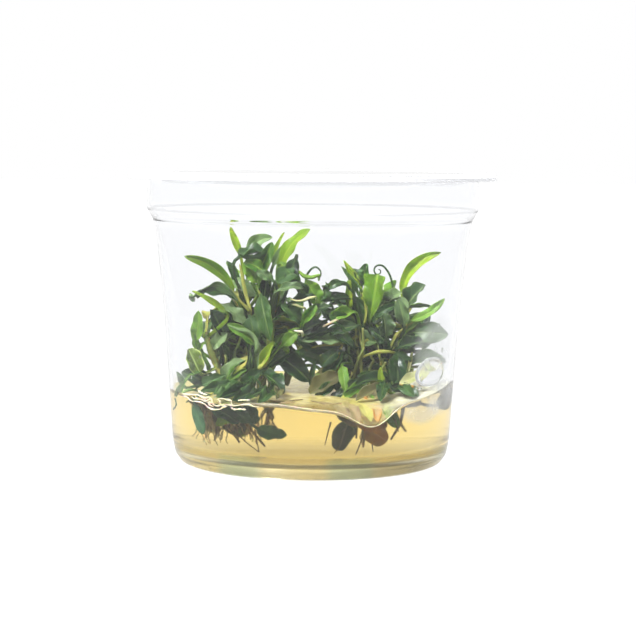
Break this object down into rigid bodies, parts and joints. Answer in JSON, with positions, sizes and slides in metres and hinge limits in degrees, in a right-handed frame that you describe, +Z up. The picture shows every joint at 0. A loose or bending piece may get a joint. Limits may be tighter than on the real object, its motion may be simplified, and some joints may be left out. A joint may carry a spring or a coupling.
{
  "type": "tissue culture bucephalandra",
  "caption": "Sealed clear cup with a wide flange holding amber nutrient gel and tufts of small leathery green leaves on creeping rhizomes.",
  "frame": {"origin": "centre of the foot ring, on the surface that the cup stands on", "axes": "+Z up along the cup's axis, -Y towards the front that the picture shows, +X to the right of it"},
  "size_m": [0.095, 0.095, 0.0752],
  "materials": {
    "clear_plastic": "clear, smooth, thin wall",
    "seal_film": "clear, smooth film",
    "nutrient_gel": "clear amber, moist, faintly cloudy",
    "rhizome": "matt, fibrous",
    "stem": "satin, ridged",
    "lime_leaf": "satin, young and thin",
    "green_leaf": "satin with fine veins",
    "dark_leaf": "glossy with fine veins",
    "grey_leaf": "satin with a silver bloom",
    "pale_leaf": "matt, fading"
  },
  "bodies": {
    "root": {"cup": "clear_plastic", "seal_film": "seal_film", "gel": "nutrient_gel", "left_rhizome": "rhizome", "right_rhizome": "rhizome", "left_stem_1": "stem", "left_stem_2": "stem", "left_stem_3": "stem", "left_stem_4": "stem", "right_stem_1": "stem", "right_stem_2": "stem", "right_stem_3": "stem", "left_leaf_01": "lime_leaf", "left_leaf_02": "lime_leaf", "left_leaf_03": "grey_leaf", "left_leaf_04": "lime_leaf", "left_leaf_05": "dark_leaf", "left_leaf_06": "dark_leaf", "left_leaf_07": "grey_leaf", "left_leaf_08": "green_leaf", "left_leaf_09": "green_leaf", "left_leaf_10": "lime_leaf", "left_leaf_11": "grey_leaf", "left_leaf_12": "grey_leaf", "left_leaf_13": "lime_leaf", "left_leaf_14": "dark_leaf", "left_leaf_15": "dark_leaf", "left_leaf_16": "dark_leaf", "left_leaf_17": "dark_leaf", "left_leaf_18": "lime_leaf", "left_leaf_19": "dark_leaf", "left_leaf_20": "green_leaf", "left_leaf_21": "dark_leaf", "left_leaf_22": "dark_leaf", "left_leaf_23": "grey_leaf", "left_leaf_24": "green_leaf", "left_leaf_25": "dark_leaf", "left_leaf_26": "grey_leaf", "right_leaf_01": "lime_leaf", "right_leaf_02": "lime_leaf", "right_leaf_03": "green_leaf", "right_leaf_04": "lime_leaf", "right_leaf_05": "grey_leaf", "right_leaf_06": "green_leaf", "right_leaf_07": "pale_leaf", "right_leaf_08": "dark_leaf", "right_leaf_09": "grey_leaf", "right_leaf_10": "dark_leaf", "right_leaf_11": "dark_leaf", "right_leaf_12": "dark_leaf", "right_leaf_13": "dark_leaf", "right_leaf_14": "grey_leaf", "right_leaf_15": "grey_leaf", "right_leaf_16": "green_leaf", "right_leaf_17": "dark_leaf", "right_leaf_18": "dark_leaf", "right_leaf_19": "grey_leaf", "right_leaf_20": "dark_leaf", "right_leaf_21": "dark_leaf", "right_leaf_22": "green_leaf"}
  },
  "joints": []
}
